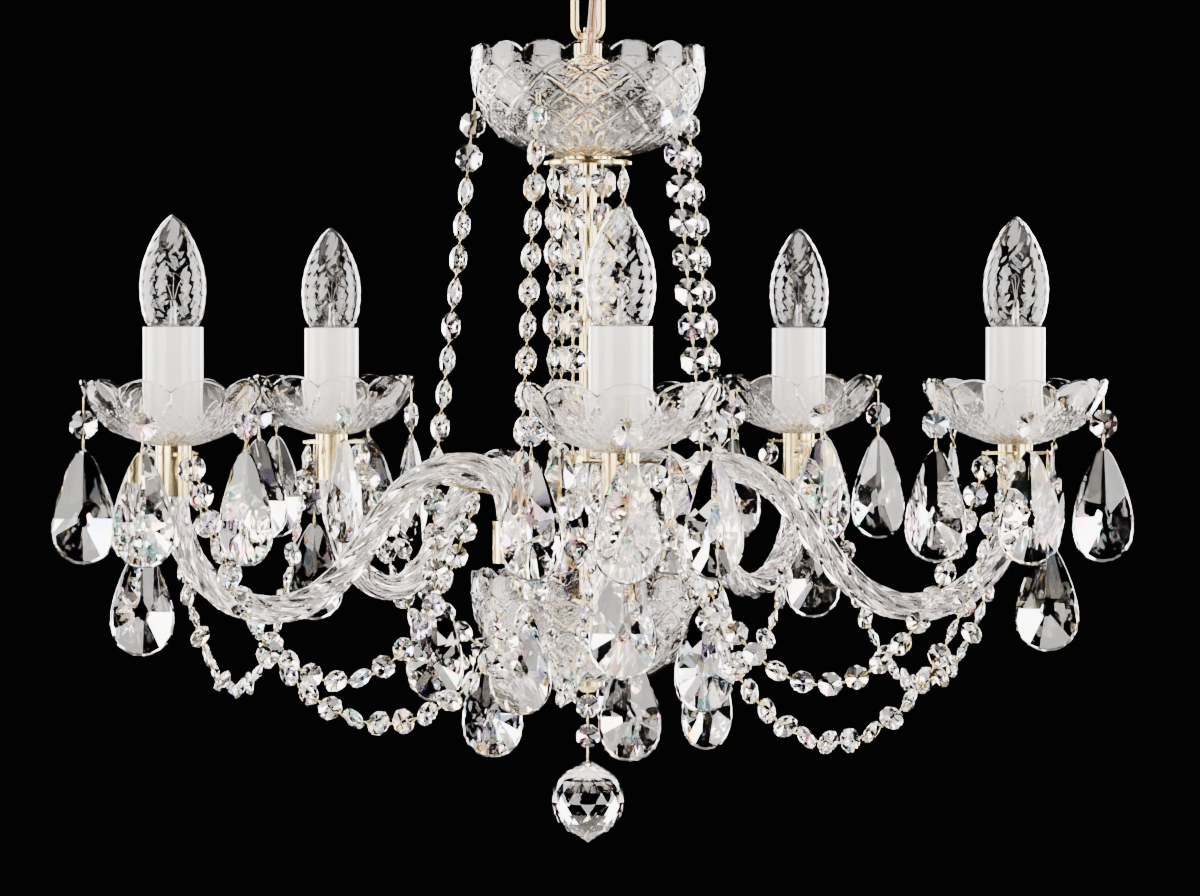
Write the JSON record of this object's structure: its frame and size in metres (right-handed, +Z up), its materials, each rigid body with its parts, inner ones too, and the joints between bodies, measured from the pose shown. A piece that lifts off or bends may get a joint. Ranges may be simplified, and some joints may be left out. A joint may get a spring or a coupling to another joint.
{
  "type": "crystal chandelier",
  "caption": "Ceiling chandelier with twisted glass arms, scalloped cut glass bowls and drip pans, candle lamps and swags of cut crystal beads and pear drops",
  "frame": {"origin": "centre of the ceiling face that carries the fitting", "axes": "+Z up out of the ceiling face, the front of the chandelier towards -Y, +X to the right seen from the front"},
  "size_m": [0.5594, 0.5256, 0.5322],
  "materials": {
    "polished_brass": "polished, thin pale lacquer",
    "plated_steel": "zinc plated",
    "clear_flex": "transparent PVC over twisted cores",
    "wire_insulation": "clear sleeve over stranded copper",
    "white_sleeve": "satin white card or plastic candle sleeve",
    "holder_plastic": "moulded thermoplastic",
    "lamp_glass": "clear twisted glass with a metal screw cap",
    "clear_glass": "hand cut and polished clear glass",
    "cut_crystal": "machine cut and polished crystal"
  },
  "bodies": {
    "ceiling_fitting": {"ceiling_plate": "plated_steel", "ceiling_hook": "polished_brass", "canopy_cup": "polished_brass"},
    "chain": {"chain_link": "polished_brass", "supply_flex": "clear_flex"},
    "chandelier": {"suspension_loop": "polished_brass", "bowl_cap": "polished_brass", "stem_tube": "polished_brass", "top_bowl": "clear_glass", "strand_disc": "polished_brass", "arm_hub": "polished_brass", "bottom_bowl": "clear_glass", "bottom_nut": "polished_brass", "strand_beads": "cut_crystal", "strand_pears": "cut_crystal", "swag_beads": "cut_crystal", "bead_links": "polished_brass", "bowl_drops": "cut_crystal", "glass_arms": "clear_glass", "arm_wires": "wire_insulation", "arm_collars": "polished_brass", "drip_pans": "clear_glass", "candle_sleeves": "white_sleeve", "lampholders": "holder_plastic"},
    "ball": {"ball_drop": "cut_crystal"},
    "lamp_1": {"lamp_1": "lamp_glass"},
    "arm_drop_1": {"arm_drop_1": "cut_crystal"},
    "pan_drop_1_1": {"pan_drop_1_1": "cut_crystal"},
    "pan_drop_1_2": {"pan_drop_1_2": "cut_crystal"},
    "pan_drop_1_3": {"pan_drop_1_3": "cut_crystal"},
    "pan_drop_1_4": {"pan_drop_1_4": "cut_crystal"},
    "pan_drop_1_5": {"pan_drop_1_5": "cut_crystal"},
    "lamp_2": {"lamp_2": "lamp_glass"},
    "arm_drop_2": {"arm_drop_2": "cut_crystal"},
    "pan_drop_2_1": {"pan_drop_2_1": "cut_crystal"},
    "pan_drop_2_2": {"pan_drop_2_2": "cut_crystal"},
    "pan_drop_2_3": {"pan_drop_2_3": "cut_crystal"},
    "pan_drop_2_4": {"pan_drop_2_4": "cut_crystal"},
    "pan_drop_2_5": {"pan_drop_2_5": "cut_crystal"},
    "lamp_3": {"lamp_3": "lamp_glass"},
    "arm_drop_3": {"arm_drop_3": "cut_crystal"},
    "pan_drop_3_1": {"pan_drop_3_1": "cut_crystal"},
    "pan_drop_3_2": {"pan_drop_3_2": "cut_crystal"},
    "pan_drop_3_3": {"pan_drop_3_3": "cut_crystal"},
    "pan_drop_3_4": {"pan_drop_3_4": "cut_crystal"},
    "pan_drop_3_5": {"pan_drop_3_5": "cut_crystal"},
    "lamp_4": {"lamp_4": "lamp_glass"},
    "arm_drop_4": {"arm_drop_4": "cut_crystal"},
    "pan_drop_4_1": {"pan_drop_4_1": "cut_crystal"},
    "pan_drop_4_2": {"pan_drop_4_2": "cut_crystal"},
    "pan_drop_4_3": {"pan_drop_4_3": "cut_crystal"},
    "pan_drop_4_4": {"pan_drop_4_4": "cut_crystal"},
    "pan_drop_4_5": {"pan_drop_4_5": "cut_crystal"},
    "lamp_5": {"lamp_5": "lamp_glass"},
    "arm_drop_5": {"arm_drop_5": "cut_crystal"},
    "pan_drop_5_1": {"pan_drop_5_1": "cut_crystal"},
    "pan_drop_5_2": {"pan_drop_5_2": "cut_crystal"},
    "pan_drop_5_3": {"pan_drop_5_3": "cut_crystal"},
    "pan_drop_5_4": {"pan_drop_5_4": "cut_crystal"},
    "pan_drop_5_5": {"pan_drop_5_5": "cut_crystal"}
  },
  "joints": [
    {"name": "chain_swing", "type": "hinge", "parent": "ceiling_fitting", "child": "chain", "pos_m": [0, 0, -0.0583], "axis": [0, 1, 0], "range_deg": [-8, 8]},
    {"name": "chandelier_swing", "type": "hinge", "parent": "chain", "child": "chandelier", "pos_m": [0, 0, -0.102], "axis": [1, 0, 0], "range_deg": [-8, 8], "deforming": ["supply_flex"]},
    {"name": "ball_swing", "type": "hinge", "parent": "chandelier", "child": "ball", "pos_m": [0, 0, -0.451], "axis": [1, 0, 0], "range_deg": [-15, 15]},
    {"name": "lamp_1_lift", "type": "slide", "parent": "chandelier", "child": "lamp_1", "axis": [0, 0, 1], "range_m": [0, 0.03]},
    {"name": "arm_drop_1_swing", "type": "hinge", "parent": "chandelier", "child": "arm_drop_1", "pos_m": [0.0168, -0.24643, -0.322], "axis": [-0.9977, -0.068, 0], "range_deg": [-2, 12]},
    {"name": "pan_drop_1_1_swing", "type": "hinge", "parent": "chandelier", "child": "pan_drop_1_1", "pos_m": [0.0186, -0.27277, -0.2915], "axis": [-0.9977, -0.068, 0], "range_deg": [-2, 12]},
    {"name": "pan_drop_1_2_swing", "type": "hinge", "parent": "chandelier", "child": "pan_drop_1_2", "pos_m": [0.05774, -0.24004, -0.2915], "axis": [-0.2436, -0.9699, 0], "range_deg": [-2, 12]},
    {"name": "pan_drop_1_3_swing", "type": "hinge", "parent": "chandelier", "child": "pan_drop_1_3", "pos_m": [0.03871, -0.1927, -0.2915], "axis": [0.8471, -0.5314, 0], "range_deg": [-2, 12]},
    {"name": "pan_drop_1_4_swing", "type": "hinge", "parent": "chandelier", "child": "pan_drop_1_4", "pos_m": [-0.01219, -0.19617, -0.2915], "axis": [0.7672, 0.6414, 0], "range_deg": [-2, 12]},
    {"name": "pan_drop_1_5_swing", "type": "hinge", "parent": "chandelier", "child": "pan_drop_1_5", "pos_m": [-0.02463, -0.24566, -0.2915], "axis": [-0.373, 0.9278, 0], "range_deg": [-2, 12]},
    {"name": "lamp_2_lift", "type": "slide", "parent": "chandelier", "child": "lamp_2", "axis": [0, 0, 1], "range_m": [0, 0.03]},
    {"name": "arm_drop_2_swing", "type": "hinge", "parent": "chandelier", "child": "arm_drop_2", "pos_m": [0.23956, -0.06017, -0.322], "axis": [-0.2436, -0.9699, 0], "range_deg": [-2, 12]},
    {"name": "pan_drop_2_1_swing", "type": "hinge", "parent": "chandelier", "child": "pan_drop_2_1", "pos_m": [0.26516, -0.0666, -0.2915], "axis": [-0.2436, -0.9699, 0], "range_deg": [-2, 12]},
    {"name": "pan_drop_2_2_swing", "type": "hinge", "parent": "chandelier", "child": "pan_drop_2_2", "pos_m": [0.24613, -0.01927, -0.2915], "axis": [0.8471, -0.5314, 0], "range_deg": [-2, 12]},
    {"name": "pan_drop_2_3_swing", "type": "hinge", "parent": "chandelier", "child": "pan_drop_2_3", "pos_m": [0.19523, -0.02274, -0.2915], "axis": [0.7672, 0.6414, 0], "range_deg": [-2, 12]},
    {"name": "pan_drop_2_4_swing", "type": "hinge", "parent": "chandelier", "child": "pan_drop_2_4", "pos_m": [0.1828, -0.07222, -0.2915], "axis": [-0.373, 0.9278, 0], "range_deg": [-2, 12]},
    {"name": "pan_drop_2_5_swing", "type": "hinge", "parent": "chandelier", "child": "pan_drop_2_5", "pos_m": [0.22602, -0.09933, -0.2915], "axis": [-0.9977, -0.068, 0], "range_deg": [-2, 12]},
    {"name": "lamp_3_lift", "type": "slide", "parent": "chandelier", "child": "lamp_3", "axis": [0, 0, 1], "range_m": [0, 0.03]},
    {"name": "arm_drop_3_swing", "type": "hinge", "parent": "chandelier", "child": "arm_drop_3", "pos_m": [0.13126, 0.20924, -0.322], "axis": [0.8471, -0.5314, 0], "range_deg": [-2, 12]},
    {"name": "pan_drop_3_1_swing", "type": "hinge", "parent": "chandelier", "child": "pan_drop_3_1", "pos_m": [0.13855, 0.23505, -0.2915], "axis": [0.9265, -0.3762, 0], "range_deg": [-2, 12]},
    {"name": "pan_drop_3_2_swing", "type": "hinge", "parent": "chandelier", "child": "pan_drop_3_2", "pos_m": [0.08902, 0.22279, -0.2915], "axis": [0.6441, 0.7649, 0], "range_deg": [-2, 12]},
    {"name": "pan_drop_3_3_swing", "type": "hinge", "parent": "chandelier", "child": "pan_drop_3_3", "pos_m": [0.08538, 0.1719, -0.2915], "axis": [-0.5284, 0.849, 0], "range_deg": [-2, 12]},
    {"name": "pan_drop_3_4_swing", "type": "hinge", "parent": "chandelier", "child": "pan_drop_3_4", "pos_m": [0.13265, 0.15271, -0.2915], "axis": [-0.9707, -0.2402, 0], "range_deg": [-2, 12]},
    {"name": "pan_drop_3_5_swing", "type": "hinge", "parent": "chandelier", "child": "pan_drop_3_5", "pos_m": [0.16551, 0.19173, -0.2915], "axis": [-0.0715, -0.9974, 0], "range_deg": [-2, 12]},
    {"name": "lamp_4_lift", "type": "slide", "parent": "chandelier", "child": "lamp_4", "axis": [0, 0, 1], "range_m": [0, 0.03]},
    {"name": "arm_drop_4_swing", "type": "hinge", "parent": "chandelier", "child": "arm_drop_4", "pos_m": [-0.15844, 0.18949, -0.322], "axis": [0.7672, 0.6414, 0], "range_deg": [-2, 12]},
    {"name": "pan_drop_4_1_swing", "type": "hinge", "parent": "chandelier", "child": "pan_drop_4_1", "pos_m": [-0.17974, 0.20555, -0.2915], "axis": [0.6704, 0.742, 0], "range_deg": [-2, 12]},
    {"name": "pan_drop_4_2_swing", "type": "hinge", "parent": "chandelier", "child": "pan_drop_4_2", "pos_m": [-0.18516, 0.15481, -0.2915], "axis": [-0.4985, 0.8669, 0], "range_deg": [-2, 12]},
    {"name": "pan_drop_4_3_swing", "type": "hinge", "parent": "chandelier", "child": "pan_drop_4_3", "pos_m": [-0.13858, 0.13398, -0.2915], "axis": [-0.9785, -0.2062, 0], "range_deg": [-2, 12]},
    {"name": "pan_drop_4_4_swing", "type": "hinge", "parent": "chandelier", "child": "pan_drop_4_4", "pos_m": [-0.10438, 0.17184, -0.2915], "axis": [-0.1063, -0.9943, 0], "range_deg": [-2, 12]},
    {"name": "pan_drop_4_5_swing", "type": "hinge", "parent": "chandelier", "child": "pan_drop_4_5", "pos_m": [-0.12981, 0.21607, -0.2915], "axis": [0.9128, -0.4083, 0], "range_deg": [-2, 12]},
    {"name": "lamp_5_lift", "type": "slide", "parent": "chandelier", "child": "lamp_5", "axis": [0, 0, 1], "range_m": [0, 0.03]},
    {"name": "arm_drop_5_swing", "type": "hinge", "parent": "chandelier", "child": "arm_drop_5", "pos_m": [-0.22918, -0.09213, -0.322], "axis": [-0.373, 0.9278, 0], "range_deg": [-2, 12]},
    {"name": "pan_drop_5_1_swing", "type": "hinge", "parent": "chandelier", "child": "pan_drop_5_1", "pos_m": [-0.2567, -0.08874, -0.2915], "axis": [-0.068, 0.9977, 0], "range_deg": [-2, 12]},
    {"name": "pan_drop_5_2_swing", "type": "hinge", "parent": "chandelier", "child": "pan_drop_5_2", "pos_m": [-0.22398, -0.12788, -0.2915], "axis": [-0.9699, 0.2436, 0], "range_deg": [-2, 12]},
    {"name": "pan_drop_5_3_swing", "type": "hinge", "parent": "chandelier", "child": "pan_drop_5_3", "pos_m": [-0.17664, -0.10885, -0.2915], "axis": [-0.5314, -0.8471, 0], "range_deg": [-2, 12]},
    {"name": "pan_drop_5_4_swing", "type": "hinge", "parent": "chandelier", "child": "pan_drop_5_4", "pos_m": [-0.18011, -0.05795, -0.2915], "axis": [0.6414, -0.7672, 0], "range_deg": [-2, 12]},
    {"name": "pan_drop_5_5_swing", "type": "hinge", "parent": "chandelier", "child": "pan_drop_5_5", "pos_m": [-0.22959, -0.04552, -0.2915], "axis": [0.9278, 0.373, 0], "range_deg": [-2, 12]}
  ]
}
